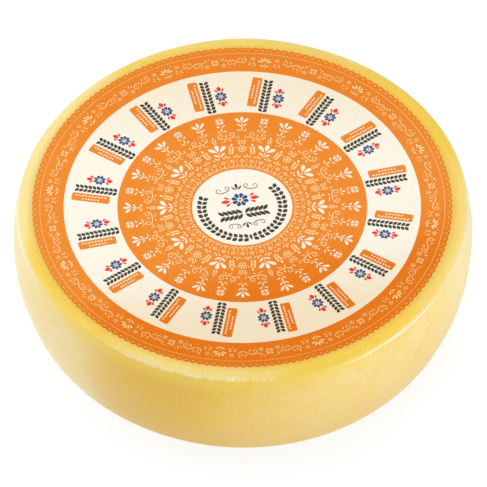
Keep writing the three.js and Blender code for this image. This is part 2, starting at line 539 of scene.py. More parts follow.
def wheel_section():
    slope = 1 / math.tan(RIDGE_SHOULDER_ANGLE)
    side_top = WIDEST_RADIUS - SIDE_ARC_RADIUS * (1 - math.cos(RIDGE_SIDE_ANGLE))
    ridge_x = side_top - RIDGE_RADIUS * math.cos(RIDGE_SIDE_ANGLE)
    run = ridge_x + RIDGE_RADIUS * math.cos(RIDGE_SHOULDER_ANGLE) - FACE_RADIUS
    drop = slope * run / 2
    ridge_z = TOP_HEIGHT - drop - RIDGE_RADIUS * math.sin(RIDGE_SHOULDER_ANGLE)
    side_z = ridge_z - (SIDE_ARC_RADIUS - RIDGE_RADIUS) * math.sin(RIDGE_SIDE_ANGLE)
    side_x = WIDEST_RADIUS - SIDE_ARC_RADIUS
    foot_angle = -math.asin((side_z - FOOT_RADIUS) / (SIDE_ARC_RADIUS - FOOT_RADIUS))
    foot_x = side_x + (SIDE_ARC_RADIUS - FOOT_RADIUS) * math.cos(foot_angle)

    points = [(0, 0), (foot_x / 2, 0), (foot_x, 0)]
    points += arc((foot_x, FOOT_RADIUS), FOOT_RADIUS, -math.pi / 2, foot_angle, FOOT_STEPS)
    points += arc((side_x, side_z), SIDE_ARC_RADIUS, foot_angle, RIDGE_SIDE_ANGLE, SIDE_STEPS)
    ridge = (ridge_x, ridge_z)
    points += arc(ridge, RIDGE_RADIUS, RIDGE_SIDE_ANGLE, RIDGE_SHOULDER_ANGLE, RIDGE_STEPS)
    for step in range(1, SHOULDER_STEPS + 1):
        share = 1 - step / SHOULDER_STEPS
        points.append((FACE_RADIUS + run * share, TOP_HEIGHT - drop * share * share))
    points += [(FACE_RADIUS - 2, TOP_HEIGHT), (FACE_RADIUS / 2, TOP_HEIGHT), (0, TOP_HEIGHT)]
    return [(x * MM, 0, z * MM) for x, z in points]


section = wheel_section()
print("the section has", len(section), "points")

# %% [markdown]
# ## Turning the section, and pressing it out of round
# Blender could turn a line with a Screw or Spin, but a recipe of nodes can also say how the cheese
# departs from a true circle. A grid is made with one column for each step round the wheel and one
# row for each point of the section. Each corner looks up its own section point, and goes to its
# angle. The waves round the rim, the soft swells of the side and the rise and dip of the ridge are
# sums of cosines, the same as in the solid model, so the fine surface lies on the plain one.

# %% Recipe for the pressed wheel
ROUND_STEPS = 600
# Waves round the rim: how many, their height in millimetres, and where they peak or how they climb
OUT_OF_ROUND = [(2, 0.54, math.radians(67.5)), (3, 0.4, math.radians(40)), (4, 0.57, math.radians(7.7))]
SIDE_SWELLS = [(6, 0.22, 0.031), (11, 0.16, -0.047)]
RIDGE_SWELLS = [(5, 0.25, math.radians(20)), (9, 0.2, math.radians(7))]
RIDGE_SINK = 0.3


def wave_sum(board, waves, angle):
    """The height of some waves round the rim, each given as its count, its height and its peak."""
    total = 0.0
    for count, height, peak in waves:
        total = total + board.maths("COSINE", (angle - peak) * count) * height
    return total


def share_between(board, value, low, high):
    """0 at both ends of a range and outside it, 1 in its middle."""
    limits = {"Value": value, "From Min": low, "From Max": high}
    place = board.add("ShaderNodeMapRange", {"clamp": True}, limits)
    return board.maths("SINE", place * math.pi)


def turned_wheel(board, given):
    """The section turned round the axis, with the waves of the pressed cheese."""
    rows, columns = given["Section Points"], given["Round Steps"]
    grid = board.add("GeometryNodeMeshGrid", {}, {"Vertices X": columns + 1, "Vertices Y": rows})
    index = board.add("GeometryNodeInputIndex")
    column = board.maths("FLOOR", (index + 0.5) / rows)
    row = index - column * rows
    lookup = {"Geometry": given["Geometry"], "Value": board.add("GeometryNodeInputPosition")}
    lookup["Index"] = row
    point = board.add("GeometryNodeSampleIndex", {"data_type": "FLOAT_VECTOR"}, lookup)
    radius, _, height = (value * (1 / MM) for value in board.parts(point))
    angle = column * (2 * math.pi) / columns

    swell = 0.0
    for count, size, climb in SIDE_SWELLS:
        swell = swell + board.maths("COSINE", angle * count + height * (climb * math.pi)) * size
    on_side = board.maths("GREATER_THAN", radius, FACE_RADIUS)
    on_side = on_side * share_between(board, height, 0.0, TOP_HEIGHT)
    on_ridge = board.maths("GREATER_THAN", height, TOP_HEIGHT / 2)
    on_ridge = on_ridge * share_between(board, radius, FACE_RADIUS, WIDEST_RADIUS)
    out = radius * (1 + wave_sum(board, OUT_OF_ROUND, angle) / WIDEST_RADIUS) + swell * on_side
    up = height + (wave_sum(board, RIDGE_SWELLS, angle) - RIDGE_SINK) * on_ridge

    x = out * board.maths("COSINE", angle)
    y = out * board.maths("SINE", angle)
    scaled = {"Vector": board.vector(x, y, up), "Scale": MM}
    place = board.add("ShaderNodeVectorMath", {"operation": "SCALE"}, scaled)
    moved = board.add("GeometryNodeSetPosition", {}, {"Geometry": grid, "Position": place})
    return board.add("GeometryNodeMergeByDistance", {}, {"Geometry": moved, "Distance": TOUCHING})


# %% [markdown]
# ## Relief of the rind
# A pressed cheese isn't smooth. The cloth and the shelf leave shallow hollows, and the ridge has
# small nicks where the curd didn't fill the mould, which break up the line of light along it. Both
# are real relief here, pushed along the surface's own normal. Noise with a fixed scale and no
# random start gives the same hollows each time.

# %% Relief and the finished wheel
# Depths, reaches and heights in millimetres, and roughly how many of each lie in a metre
HOLLOW_DEPTH, HOLLOWS_PER_METRE = 0.26, 45
LUMP_DEPTH, LUMPS_PER_METRE = 0.1, 170
NICK_DEPTH, NICKS_PER_METRE = 0.4, 330
NICKED_STRETCHES_PER_METRE = 16
NICK_REACH = 4.0
SHRINKAGE = 0.09
RELIEF_REACH = (FACE_RADIUS + 0.5, FACE_RADIUS + 3)
RELIEF_HEIGHTS = (2, 9)


def relief(board):
    """How far each point moves outwards, in metres."""
    place = board.add("GeometryNodeInputPosition")
    x, y, z = board.parts(place)
    off_label = board.ease_mm(board.maths("SQRT", x * x + y * y), RELIEF_REACH)
    above_floor = board.ease_mm(z, RELIEF_HEIGHTS)
    hollows = board.noise(place, HOLLOWS_PER_METRE, 1.0) * HOLLOW_DEPTH
    lumps = board.noise(place, LUMPS_PER_METRE) * LUMP_DEPTH
    first_of_shoulder = section[-SHOULDER_STEPS - 3]
    ridge_z = first_of_shoulder[2] / MM
    near_ridge = share_between(board, z * (1 / MM), ridge_z - NICK_REACH, ridge_z + NICK_REACH)
    nicked = board.ease(board.noise(place, NICKED_STRETCHES_PER_METRE, 0.0), -0.1, 0.15)
    nicks = board.noise(place, NICKS_PER_METRE) * nicked
    total = hollows + lumps + nicks * near_ridge * NICK_DEPTH - SHRINKAGE
    return total * off_label * above_floor * MM


def wheel_recipe():
    board, given = new_recipe(
        "pressed wheel", **{"Section Points": "int", "Round Steps": "int", "Material": "material"}
    )
    wheel = turned_wheel(board, given)
    push = {"Vector": board.add("GeometryNodeInputNormal"), "Scale": relief(board)}
    offset = board.add("ShaderNodeVectorMath", {"operation": "SCALE"}, push)
    rough = board.add("GeometryNodeSetPosition", {}, {"Geometry": wheel, "Offset": offset})
    return end_recipe(board, rough, given["Material"], True)


def centre_on(piece, low, high):
    """Moves a piece's mesh sideways so that its box has the same middle as another box."""
    xs = [corner.co.x for corner in piece.data.vertices]
    ys = [corner.co.y for corner in piece.data.vertices]
    middle = (low + high) / 2
    shift = Vector((middle.x - (min(xs) + max(xs)) / 2, middle.y - (min(ys) + max(ys)) / 2, 0))
    for corner in piece.data.vertices:
        corner.co += shift
    print(piece.name, "moved by", tuple(shift))


def face_outwards(piece):
    work = bmesh.new()
    work.from_mesh(piece.data)
    bmesh.ops.recalc_face_normals(work, faces=work.faces)
    work.to_mesh(piece.data)
    work.free()


links = [(i, i + 1) for i in range(len(section) - 1)]
cheese_body = grow(
    new_seed(section, links, []),
    wheel_recipe(),
    "cheese_body",
    **{"Section Points": len(section), "Round Steps": ROUND_STEPS, "Material": CHEESE},
)
face_outwards(cheese_body)
centre_on(cheese_body, wheel_low, wheel_high)
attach(cheese_body, "root")
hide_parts("cheese_wheel")

# %% [markdown]
# ## Printed paper
# The label is thin satin paper. Its inks are opaque and lie on it like a skin, so every ink is the
# same kind of material with its own colour. Paper is never one flat colour: fibres cloud it
# slightly, the print is a touch uneven, and the sheet cockles where it has taken up moisture, which
# shows in the sheen. The clouding is in the colour and the roughness, and the cockling in the bump.
# Paper and inks are darker and warmer towards the front and the back: that is painted shade. The
# sheet's rim is dyed through in the orange of its border, which shows in the cut walls of the lace.
# Thin cream lines look yellower between the orange than large cream shapes do, so they have an ink
# of their own.

# %% Paper and ink materials
FIBRES_PER_METRE = 2600
CLOUDS_PER_METRE = 150
COCKLES_PER_METRE = 28
CLOUDED_EDGE = 20 * MM
# Where the painted shade begins and is full, behind and in front of the middle, and where the rim's
# dye does, in millimetres. The front edge of the painted shade leans towards the middle on the right.
PAINTED_SHADE_REAR = (35, 110)
PAINTED_SHADE_FRONT = (33, 100)
DYED_RIM = (128, 130)


def paper_material(name, unshaded_colour, painted_shade_colour, rear_share=0.6, lean=0.15, front=PAINTED_SHADE_FRONT, rim=None):
    """Paper or ink: its plain colour in its middle, painted shade in front and behind, and its rim dyed if
    it has one.
    """
    material, board, shader, place = new_material(name, IOR=1.45, Specular_IOR_Level=0.12)
    x, y, z = board.parts(place)
    fibres = board.noise(place, FIBRES_PER_METRE)
    clouds = board.noise(place, CLOUDS_PER_METRE, 3.0)
    cockle = board.noise(place, COCKLES_PER_METRE, 1.0)
    # Painted shade: darker and warmer towards the front and the back of the label.
    nearer = board.ease_mm(x * lean - y + clouds * CLOUDED_EDGE, front)
    farther = board.ease_mm(y + clouds * CLOUDED_EDGE, PAINTED_SHADE_REAR) * rear_share
    painted_shade_and_clouds = board.maths("MAXIMUM", nearer, farther) + clouds * 0.25 + fibres * 0.12
    colour = blended(board, unshaded_colour, painted_shade_colour, painted_shade_and_clouds)
    if rim:
        off_x, off_y = x - LABEL_MIDDLE.x, y - LABEL_MIDDLE.y
        out = board.maths("SQRT", off_x * off_x + off_y * off_y)
        colour = blended(board, colour, rim, board.ease_mm(out, DYED_RIM))
    board.feed(shader.inputs["Base Color"], colour)
    board.feed(shader.inputs["Roughness"], 0.5 + fibres * 0.12 + clouds * 0.1)
    height = cockle + fibres * 0.015
    bump = {"Strength": 0.2, "Distance": 0.6 * MM, "Height": height}
    board.feed(shader.inputs["Normal"], board.add("ShaderNodeBump", {}, bump))
    return material


FRESH_ORANGE = ink(239, 139, 43)
PAPER = paper_material("label_paper", ink(250, 244, 228), ink(243, 225, 193), rim=FRESH_ORANGE)
ORANGE = paper_material("orange_ink", FRESH_ORANGE, ink(230, 118, 3), 0.4, 0.3, (28, 85))
CREAM = paper_material("cream_ink", ink(250, 240, 217), ink(244, 223, 182))
FINE_CREAM = paper_material("fine_cream_ink", ink(252, 234, 184), ink(246, 220, 150))
BLUE = paper_material("blue_ink", ink(48, 84, 132), ink(42, 76, 116))
RED = paper_material("red_ink", ink(236, 66, 50), ink(222, 52, 34))
DARK = paper_material("dark_ink", ink(70, 64, 54), ink(62, 55, 42))

# %% [markdown]
# ## The lace edge
# The label's edge is cut like lace: a ring of small scallops, each with an eye. The outline follows
# a rule, so a recipe draws it. A circle with a few points for each scallop is pulled in between the
# tips, one eye is copied round it, and Fill Curve makes a flat sheet with the eyes as holes. The
# sheet is then given its thickness, and a copy of the flat sheet, turned over, closes it below.

# %% Recipe for sheets with a lace edge
LACE_TIP_RADIUS = 137
LACE_DEPTH = 1.6
LACE_SCALLOPS = 180
SCALLOP_STEPS = 12
EYE_RADIUS_OUT = 134.9
EYE_WIDTH = 2.3
EYE_HEIGHT = 1.2
EYE_BULGE = 0.57
EYE_STEPS = 14
CIRCLE_STEPS = 360


def circle(board, steps, **radius):
    settings = {"mode": "RADIUS"}
    return board.add("GeometryNodeCurvePrimitiveCircle", settings, {"Resolution": steps, **radius})


def copied_round(board, motif, copies, turn):
    """Copies of a motif on points that all lie at the origin, each with its own turn."""
    points = board.add("GeometryNodePoints", {}, {"Count": copies})
    inputs = {"Points": points, "Instance": motif, "Rotation": board.vector(0.0, 0.0, turn)}
    return board.add("GeometryNodeInstanceOnPoints", {}, inputs)


def lace_outline(board):
    """A circle whose points follow the scallops."""
    index = board.add("GeometryNodeInputIndex")
    scallop = board.maths("FLOOR", (index + 0.5) / SCALLOP_STEPS)
    turn = (index - scallop * SCALLOP_STEPS) * (math.pi / SCALLOP_STEPS)
    pitch = 2 * math.pi / LACE_SCALLOPS
    angle = (scallop - board.maths("COSINE", turn) * 0.5) * pitch
    radius = (LACE_TIP_RADIUS - (1 - board.maths("SINE", turn)) * LACE_DEPTH) * MM
    x = radius * board.maths("COSINE", angle)
    y = radius * board.maths("SINE", angle)
    ring = circle(board, LACE_SCALLOPS * SCALLOP_STEPS)
    inputs = {"Geometry": ring, "Position": board.vector(x, y, 0.0)}
    return board.add("GeometryNodeSetPosition", {}, inputs)


def lace_eyes(board):
    """One eye, flatter on the side towards the label, copied to every scallop."""
    angle = board.add("GeometryNodeInputIndex") * (2 * math.pi / EYE_STEPS)
    outwards = board.maths("COSINE", angle)
    flatter = 0.75 + board.maths("SIGN", outwards) * 0.25
    x = (outwards * flatter * (EYE_HEIGHT * EYE_BULGE) + EYE_RADIUS_OUT) * MM
    y = board.maths("SINE", angle) * (EYE_WIDTH / 2 * MM)
    shape = {"Geometry": circle(board, EYE_STEPS), "Position": board.vector(x, y, 0.0)}
    eye = board.add("GeometryNodeSetPosition", {}, shape)
    turn = board.add("GeometryNodeInputIndex") * (2 * math.pi / LACE_SCALLOPS)
    copies = copied_round(board, eye, LACE_SCALLOPS, turn)
    return board.add("GeometryNodeRealizeInstances", {}, {"Geometry": copies})


def thickened(board, flat, thickness):
    """A flat sheet made a closed solid: raised, with its sides, and closed below."""
    up = {"Mesh": flat, "Offset": (0.0, 0.0, 1.0), "Offset Scale": thickness, "Individual": False}
    raised = board.add("GeometryNodeExtrudeMesh", {"mode": "FACES"}, up)
    under = board.add("GeometryNodeFlipFaces", {}, {"Mesh": flat})
    both = board.add("GeometryNodeJoinGeometry", {}, {"Geometry": [raised, under]})
    return board.add("GeometryNodeMergeByDistance", {}, {"Geometry": both, "Distance": TOUCHING})


def sheet_recipe(name, laced, holed):
    """A round sheet. Its edge is lace or a plain circle, and it may have a round hole."""
    sizes = {"Outer Radius": "float", "Hole Radius": "float", "Thickness": "float", "Middle": "vector"}
    board, given = new_recipe(name, **sizes, Material="material")
    curves = []
    if laced:
        curves += [lace_outline(board), lace_eyes(board)]
    else:
        curves.append(circle(board, CIRCLE_STEPS, Radius=given["Outer Radius"]))
    if holed:
        curves.append(circle(board, CIRCLE_STEPS, Radius=given["Hole Radius"]))
    outline = board.add("GeometryNodeJoinGeometry", {}, {"Geometry": curves})
    flat = board.add("GeometryNodeFillCurve", {"mode": "TRIANGLES"}, {"Curve": outline})
    solid = thickened(board, flat, given["Thickness"])
    put = {"Geometry": solid, "Translation": given["Middle"]}
    placed = board.add("GeometryNodeTransform", {}, put)
    return end_recipe(board, placed, given["Material"], False)


# %% [markdown]
# ## Paper and its fields of colour
# The paper itself is the cream colour. The orange fields are printed on it as two rings, one out to
# the lace and one round the middle, which leaves a cream ring and a cream disc. Each ink is a skin
# of a few hundredths of a millimetre, thick enough for the renderer to keep it apart from the
# paper, and too thin to see from the side.

# %% Label sheets
PAPER_THICKNESS = 0.3
INK_THICKNESS = 0.04
DISC_RADIUS = 32.7
RING_INNER = 81.4
RING_OUTER = 116.4
PAPER_LEVEL = 0.0
INK_LEVEL = PAPER_THICKNESS
OVERPRINT_LEVEL = PAPER_THICKNESS + INK_THICKNESS


def level(height):
    """The label's middle at some height over the cheese's top face, given in millimetres."""
    return tuple(LABEL_MIDDLE + Vector((0, 0, height * MM)))


def add_to_label(piece):
    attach(piece, "root")
    return piece


def add_sheet(name, material, height, thickness, outer=None, hole=None):
    """One sheet or field: laced where no outer radius is given, whole where no hole is given."""
    tree = sheet_recipe(name, outer is None, hole is not None)
    values = {"Thickness": thickness * MM, "Middle": level(height), "Material": material}
    values["Outer Radius"] = (outer or LACE_TIP_RADIUS) * MM
    values["Hole Radius"] = (hole or 0) * MM
    return add_to_label(grow(new_seed([], [], []), tree, name, **values))


label_sheet = add_sheet("label_sheet", PAPER, PAPER_LEVEL, PAPER_THICKNESS)
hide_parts("paper_label")
add_sheet("orange_border", ORANGE, INK_LEVEL, INK_THICKNESS, hole=RING_OUTER)
add_sheet("orange_field", ORANGE, INK_LEVEL, INK_THICKNESS, outer=RING_INNER, hole=DISC_RADIUS)

# %% [markdown]
# ## Stencils
# Traditional label ornament is built like a paper cutting, from a few simple shapes: dots, drops,
# leaves and scrolls. Each function below returns flat outlines in millimetres, and they are
# combined by adding lists together, so a flower is a list of drops and a border is a list of
# flowers. The numbers in a motif are its places and sizes, as on a drawing on squared paper. The
# motifs of one ink are drawn a little apart from each other, as in a real stencil.

# %% Simple shapes
# The most that the two sines of a drop's outline make together
ROUND_END_SWELL = 0.77


def turned(shapes, x=0.0, y=0.0, turn=0.0, flip=False):
    """Copies of outlines, mirrored, turned by degrees and moved, in that order."""
    cos, sin = math.cos(math.radians(turn)), math.sin(math.radians(turn))
    placed = []
    for shape in shapes:
        points = [(px, -py if flip else py) for px, py in shape]
        placed.append([(x + cos * px - sin * py, y + sin * px + cos * py) for px, py in points])
    return placed


def mirrored(shapes):
    """The shapes and their mirror image across the y axis."""
    return shapes + turned(shapes, turn=180, flip=True)


def dot(radius, x=0.0, y=0.0, sides=8):
    steps = [2 * math.pi * i / sides for i in range(sides)]
    return [[(x + radius * math.cos(a), y + radius * math.sin(a)) for a in steps]]


def petal(length, width, round_end=True, steps=7):
    """A drop with its point at the origin and its round end along +x, or a leaf with two points."""
    edge = []
    for step in range(1, steps):
        angle = math.pi * step / steps
        if round_end:
            along = length * (1 - math.cos(angle)) / 2
            half = width / 2 * math.sin(angle) * math.sin(angle / 2) / ROUND_END_SWELL
        else:
            along = length * step / steps
            half = width / 2 * math.sin(angle)
        edge.append((along, half))
    below = [(along, -half) for along, half in edge]
    return [[(0.0, 0.0)] + below + [(length, 0.0)] + edge[::-1]]


def leaf(x, y, lean, length, width):
    """A pointed leaf that starts at a place and leans by some degrees."""
    return turned(petal(length, width, False, 6), x, y, lean)


def drop(x, y, lean, length, width):
    """A drop that starts at a place with its point and leans by some degrees."""
    return turned(petal(length, width), x, y, lean)


def fan(shapes, copies, first=0.0, spread=360.0):
    """Copies turned about the origin, over a full turn or a part of one."""
    step = spread / copies if spread == 360 else spread / max(copies - 1, 1)
    fanned = []
    for i in range(copies):
        fanned += turned(shapes, turn=first + step * i)
    return fanned


def rosette(petals, radius, width, gap=0.35, core=0.5, first=0.0):
    """A flower of petals round a dot."""
    return dot(core) + fan(drop(core + gap, 0, 0, radius - core - gap, width), petals, first)


# %% [markdown]
# ## Scrolls
# The curls of such ornament are spirals that open evenly, like a fern. A line whose bend grows
# steadily with its length makes one, so a scroll is drawn by walking along it in small steps and
# turning a little more at each. Curls of one sign at both ends make an S, and of two signs a C.
# The walk is given a width that thins towards the ends, where a dot finishes it.

# %% Strokes and scrolls
def stroke(path, widths):
    """A ribbon along a path, made of four-sided pieces that share their edges."""
    sides = []
    for i, (x, y) in enumerate(path):
        before, after = path[max(i - 1, 0)], path[min(i + 1, len(path) - 1)]
        dx, dy = after[0] - before[0], after[1] - before[1]
        reach = widths[i] / 2 / math.hypot(dx, dy)
        sides.append(((x - dy * reach, y + dx * reach), (x + dy * reach, y - dx * reach)))
    pieces = []
    for (left, right), (next_left, next_right) in zip(sides, sides[1:]):
        pieces.append([left, right, next_right, next_left])
    return pieces


def scroll(length, first_curl, last_curl, width, steps=40):
    """A stroke that runs straight at its middle and curls up at both ends, by angles in radians."""
    path = [(0.0, 0.0)]
    for step in range(steps):
        share = (step + 0.5) / steps * 2 - 1
        heading = share * share * (last_curl if share > 0 else first_curl)
        x, y = path[-1]
        path.append((x + math.cos(heading) * length / steps, y + math.sin(heading) * length / steps))
    middle = path[steps // 2]
    path = [(x - middle[0], y - middle[1]) for x, y in path]
    widths = [width * (1 - 0.5 * abs(2 * i / steps - 1) ** 1.5) for i in range(steps + 1)]
    ends = []
    for end, inner in ((path[0], path[1]), (path[-1], path[-2])):
        dx, dy = end[0] - inner[0], end[1] - inner[1]
        reach = width * 0.75 / math.hypot(dx, dy)
        ends += dot(width * 0.62, end[0] + dx * reach, end[1] + dy * reach)
    return stroke(path, widths) + ends


# %% [markdown]
# ## From stencil to print
# A print is a stencil copied round the label. The recipe thickens the stencil to a closed skin of
# ink, puts copies of it on points that all lie at the label's middle, and turns each copy a little
# further. That suits a ring of 468 dots as well as one emblem in the centre, which is simply one
# copy. Before that, `bent` lays a straight stencil along the ring: its x becomes the way round.

# %% Recipe for prints round the label
def bent(shapes, radius):
    """Straight ornament laid round a ring: x runs round at this radius, and y outwards."""
    ringed = []
    for shape in shapes:
        polar = [(x / radius, radius + y) for x, y in shape]
        ringed.append([(out * math.cos(turn), out * math.sin(turn)) for turn, out in polar])
    return ringed


def print_recipe():
    board, given = new_recipe(
        "turned prints",
        **{"Copies": "int", "First Turn": "float", "Ink": "float", "Middle": "vector"},
        Material="material",
    )
    skin = thickened(board, given["Geometry"], given["Ink"])
    index = board.add("GeometryNodeInputIndex")
    turn = given["First Turn"] + index * (2 * math.pi) / given["Copies"]
    copies = copied_round(board, skin, given["Copies"], turn)
    put = {"Geometry": copies, "Translation": given["Middle"]}
    placed = board.add("GeometryNodeTransform", {}, put)
    return end_recipe(board, placed, given["Material"], False)


PRINTS = print_recipe()


def stencil_seed(shapes):
    """The outlines as one flat mesh, all facing up, with pieces joined where they share an edge."""
    corners, faces = [], []
    for shape in shapes:
        pairs = zip(shape, shape[1:] + shape[:1])
        area = sum(x0 * y1 - x1 * y0 for (x0, y0), (x1, y1) in pairs)
        points = shape if area > 0 else shape[::-1]
        faces.append(range(len(corners), len(corners) + len(points)))
        corners += [(x * MM, y * MM, 0.0) for x, y in points]
    seed = new_seed(corners, [], faces)
    work = bmesh.new()
    work.from_mesh(seed.data)
    bmesh.ops.remove_doubles(work, verts=work.verts, dist=TOUCHING)
    work.to_mesh(seed.data)
    work.free()
    return seed


def add_print(name, shapes, material, copies=1, first=0.0, height=INK_LEVEL):
    """Prints a stencil round the label, the first copy turned by some degrees."""
    values = {"Copies": copies, "First Turn": math.radians(first), "Ink": INK_THICKNESS * MM}
    values.update({"Middle": level(height), "Material": material})
    return add_to_label(grow(stencil_seed(shapes), PRINTS, name, **values))


# %% [markdown]
# ## The border
# Two things run round the orange border. Close to the lace lies a string of fine dots. Inside it
# runs a band of scrolls and flowers, twelve times round, where each length has a left and a right
# half that mirror each other. So only one half is drawn, and a helper adds its mirror image.

# %% Border ornament
DOT_RING_RADIUS = 132
DOTS_ROUND = 468
BAND_RADIUS = 124.7
BAND_REPEATS = 12
BAND_FIRST_TURN = 8


def posy(height):
    """Five petals fanned over a short stem with two leaves, standing on the origin."""
    shapes = turned(fan(drop(height * 0.14, 0, 0, height * 0.4, height * 0.12), 5, 22, 136), y=height * 0.44)
    shapes += mirrored(leaf(0.45, height * 0.06, 32, height * 0.36, height * 0.09))
    return shapes + stroke([(0, 0), (0, height * 0.18), (0, height * 0.38)], [0.3] * 3)


def border_half():
    """From beside the square rosette at x = 0 to the foot of the posy at the end of the half."""
    shapes = turned(rosette(5, 1.8, 0.65, first=18), x=5.6, y=-2.6)
    shapes += dot(0.34, 3.6, 3.4) + drop(4.7, 0.9, 64, 2.7, 0.6) + drop(5.9, 0.7, 24, 2.4, 0.55)
    shapes += turned(scroll(27, 6.6, 6.6, 0.42), x=14.4, y=0.4, turn=-28)
    shapes += leaf(14.9, 1.4, 52, 3.0, 0.55) + leaf(13.9, -0.6, -128, 3.0, 0.55)
    shapes += dot(0.32, 9.3, -4.3) + dot(0.36, 19.6, 4.2)
    shapes += turned(rosette(6, 1.6, 0.52, gap=0.3, core=0.34), x=24.9, y=2.5)
    for x, y, lean in ((23.8, -2.3, 196), (24.0, -1.6, 150), (25.0, -2.3, -18), (24.8, -1.6, 30)):
        shapes += drop(x, y, lean, 2.1, 0.55)
    return shapes + dot(0.3, 24.4, -4.2) + dot(0.3, 28.3, 4.4)


def border_repeat():
    half_length = math.pi * BAND_RADIUS / BAND_REPEATS
    shapes = fan(drop(0.5, 0, 0, 2.5, 0.8), 4, 45) + fan(drop(0.9, 0, 0, 1.7, 0.5), 4)
    shapes += mirrored(border_half())
    return bent(shapes + turned(posy(8.8), x=half_length, y=-4.5), BAND_RADIUS)


ring_dot = [[(DOT_RING_RADIUS + x * 0.75, y) for x, y in dot(0.4)[0]]]
add_print("dotted_ring", ring_dot, FINE_CREAM, DOTS_ROUND, 0.0, OVERPRINT_LEVEL)
add_print("border_vine", border_repeat(), FINE_CREAM, BAND_REPEATS, BAND_FIRST_TURN, OVERPRINT_LEVEL)

# %% [markdown]
# ## Sixteen signs in the cream ring
# The cream ring carries sixteen equal groups, each of three rows that run along the radius: a blue
# flower between red leaves, a dark plait, and an orange plaque with two fine rows of cream leaves.
# The group is drawn lying along +x, as it stands on the right of the label, one stencil per ink.

# %% Groups in the ring
GROUPS = 16
FIRST_GROUP = 12.8
EMBLEM_ROW, PLAIT_ROW, PLAQUE_ROW = -7.9, 0.7, 8.2
PLAIT_START, PLAIT_LENGTH, PLAIT_WIDTH = 82.7, 29.0, 4.9
PLAQUE_START, PLAQUE_LENGTH, PLAQUE_WIDTH = 86.3, 24.9, 6.5
EMBLEM_MIDDLE = 95.5


def plait(length, width, pairs, fill=0.84):
    """A plait along +x: pairs of leaves that lean forward from a middle line."""
    pitch = length / (pairs + 0.5)
    shapes = []
    for i in range(pairs):
        for side in (1, -1):
            shapes += leaf(pitch * i, 0.24 * side, 47 * side, width * 0.76, pitch * fill)
    return shapes


def plaque(length, width, corner=1.1, steps=5):
    """A plate with round corners, lying along +x from the origin."""
    outline = []
    for quarter in range(4):
        x = length - corner if quarter in (0, 3) else corner
        y = (width / 2 - corner) * (1 if quarter in (0, 1) else -1)
        for step in range(steps + 1):
            angle = math.pi / 2 * (quarter + step / steps)
            outline.append((x + corner * math.cos(angle), y + corner * math.sin(angle)))
    return [outline]


def leaf_row(middle, count, pitch, y, size):
    """A row of small leaves along x, centred on a middle, that lean by turns to either side."""
    first = middle - pitch * (count - 1) / 2
    shapes = []
    for i in range(count):
        upright_leaf = turned(petal(size, size * 0.5, False, 5), x=-size / 2)
        shapes += turned(upright_leaf, x=first + pitch * i, y=y, turn=35 if i % 2 else -35)
    return shapes


plaque_middle = PLAQUE_START + PLAQUE_LENGTH / 2
marks = leaf_row(plaque_middle, 6, 2.0, PLAQUE_ROW + 1.3, 1.9)
marks += leaf_row(plaque_middle, 10, 2.1, PLAQUE_ROW - 1.3, 2.0)
plate = turned(plaque(PLAQUE_LENGTH, PLAQUE_WIDTH), x=PLAQUE_START, y=PLAQUE_ROW)
dark_row = turned(plait(PLAIT_LENGTH, PLAIT_WIDTH, 10), x=PLAIT_START, y=PLAIT_ROW)
blue_flower = fan(drop(0.95, 0, 0, 3.0, 2.0), 8, 22.5)
side_leaves = leaf(4.4, 0, 0, 4.4, 3.0) + drop(4.0, 1.1, 38, 3.0, 1.4) + drop(4.0, -1.1, -38, 3.0, 1.4)
red_leaves = mirrored(side_leaves) + dot(0.62)


def add_groups():
    emblem = {"x": EMBLEM_MIDDLE, "y": EMBLEM_ROW}
    around = {"copies": GROUPS, "first": FIRST_GROUP}
    add_print("ring_plaques", plate, ORANGE, **around)
    add_print("ring_plaque_leaves", marks, CREAM, height=OVERPRINT_LEVEL, **around)
    add_print("ring_plaits", dark_row, DARK, **around)
    add_print("ring_blue_flowers", turned(blue_flower, **emblem), BLUE, **around)
    add_print("ring_red_leaves", turned(red_leaves, **emblem), RED, **around)


add_groups()

# %% [markdown]
# ## The wreath in the orange field
# Round the middle lies a dense wreath in cream, which thins out towards the ring: first close rows
# of buds, stars and dots, then large tulips with suns between them, then a ring of scrolls, a hair
# line of dots, and outside it single tulips and flowers by turns. Each row is its own stencil with
# its own count, so that the rows interlock the way they do in a paper cutting, and no row needs more
# than one motif drawn. The bold rows are printed in cream, and the thin ones in the fine cream.

# %% Wreath
TALL_MOTIFS = 10
OUTER_MOTIFS = 16
RIM_MOTIFS = 40
HAIR_DOTS = 256


def tulip(height, width):
    """A tulip that stands on the origin and opens along +y: three petals over a stem with leaves."""
    head = drop(0, height * 0.44, 90, height * 0.56, width * 0.26)
    outer = drop(width * 0.09, height * 0.38, 50, height * 0.58, width * 0.27)
    leaves = leaf(0.45, height * 0.04, 40, height * 0.4, width * 0.15)
    stem = stroke([(0, 0), (0, height * 0.17), (0, height * 0.36)], [0.5] * 3)
    return head + mirrored(outer) + mirrored(leaves) + stem


def spray(length, pairs, size):
    """A twig of leaf pairs that stands on the origin and grows along +y, with a drop at its tip."""
    shapes = drop(0, length - size * 1.15, 90, size * 1.15, size * 0.5)
    for i in range(pairs):
        shapes += mirrored(leaf(0.25, (length - size * 1.2) * i / pairs, 52, size, size * 0.36))
    return shapes


def bud(height, width, side_lean, side_length, side_width):
    """A drop that stands on the origin between two leaves."""
    return drop(0, height * 0.24, 90, height * 0.76, width) + mirrored(
        leaf(0.5, height * 0.08, side_lean, side_length, side_width)
    )


def sun():
    """A round flower of ten petals, with a crest of three drops."""
    crest = mirrored(drop(0.9, 3.6, 52, 2.1, 0.65)) + drop(0, 3.9, 90, 2.2, 0.7)
    return rosette(10, 3.0, 0.72, gap=0.45, core=0.8) + crest


